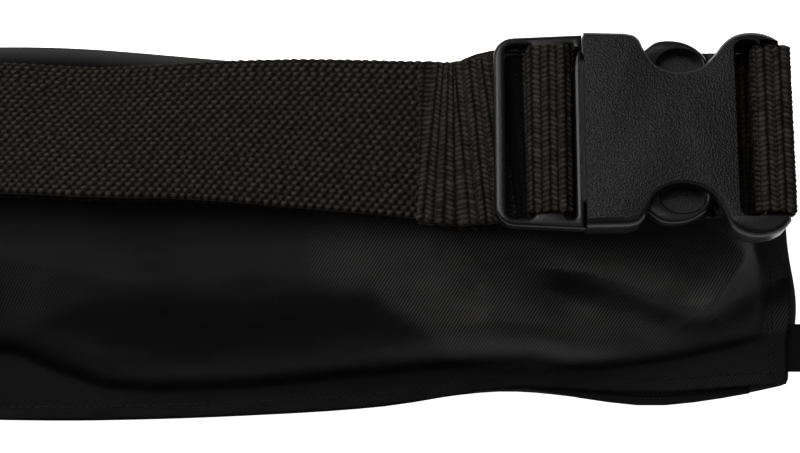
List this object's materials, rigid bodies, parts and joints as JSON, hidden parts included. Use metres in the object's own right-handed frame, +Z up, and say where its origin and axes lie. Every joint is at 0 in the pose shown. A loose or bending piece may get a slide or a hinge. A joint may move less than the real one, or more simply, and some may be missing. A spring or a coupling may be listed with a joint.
{
  "type": "inflatable belt pack",
  "caption": "Inflatable belt pack lying on its front cover: black twill pouch, wide woven belt and a side-release buckle with a double-bar adjuster.",
  "frame": {"origin": "on the flat underside of the front cover, under the middle of the belt side's view", "axes": "+X along the belt towards the buckle, +Y towards the pouch's top edge, +Z up from the surface it lies on, out of the belt side"},
  "size_m": [0.43, 0.1183, 0.0815],
  "materials": {
    "webbing": "coarse woven",
    "twill": "fine twill with a dull sheen",
    "cover": "smooth coated cloth",
    "buckle_plastic": "fine stipple with glossier edges",
    "zip": "coil on woven tape",
    "tape": "woven tape",
    "cell": "coated cloth, hidden"
  },
  "bodies": {
    "root": {"back_panel": "twill", "front_panel": "cover", "packed_air_cell": "cell", "zip_chain": "zip", "end_tab": "tape", "belt_rear_strand": "webbing", "belt_near_strand": "webbing", "buckle_male": "buckle_plastic", "buckle_female": "buckle_plastic"}
  },
  "joints": []
}
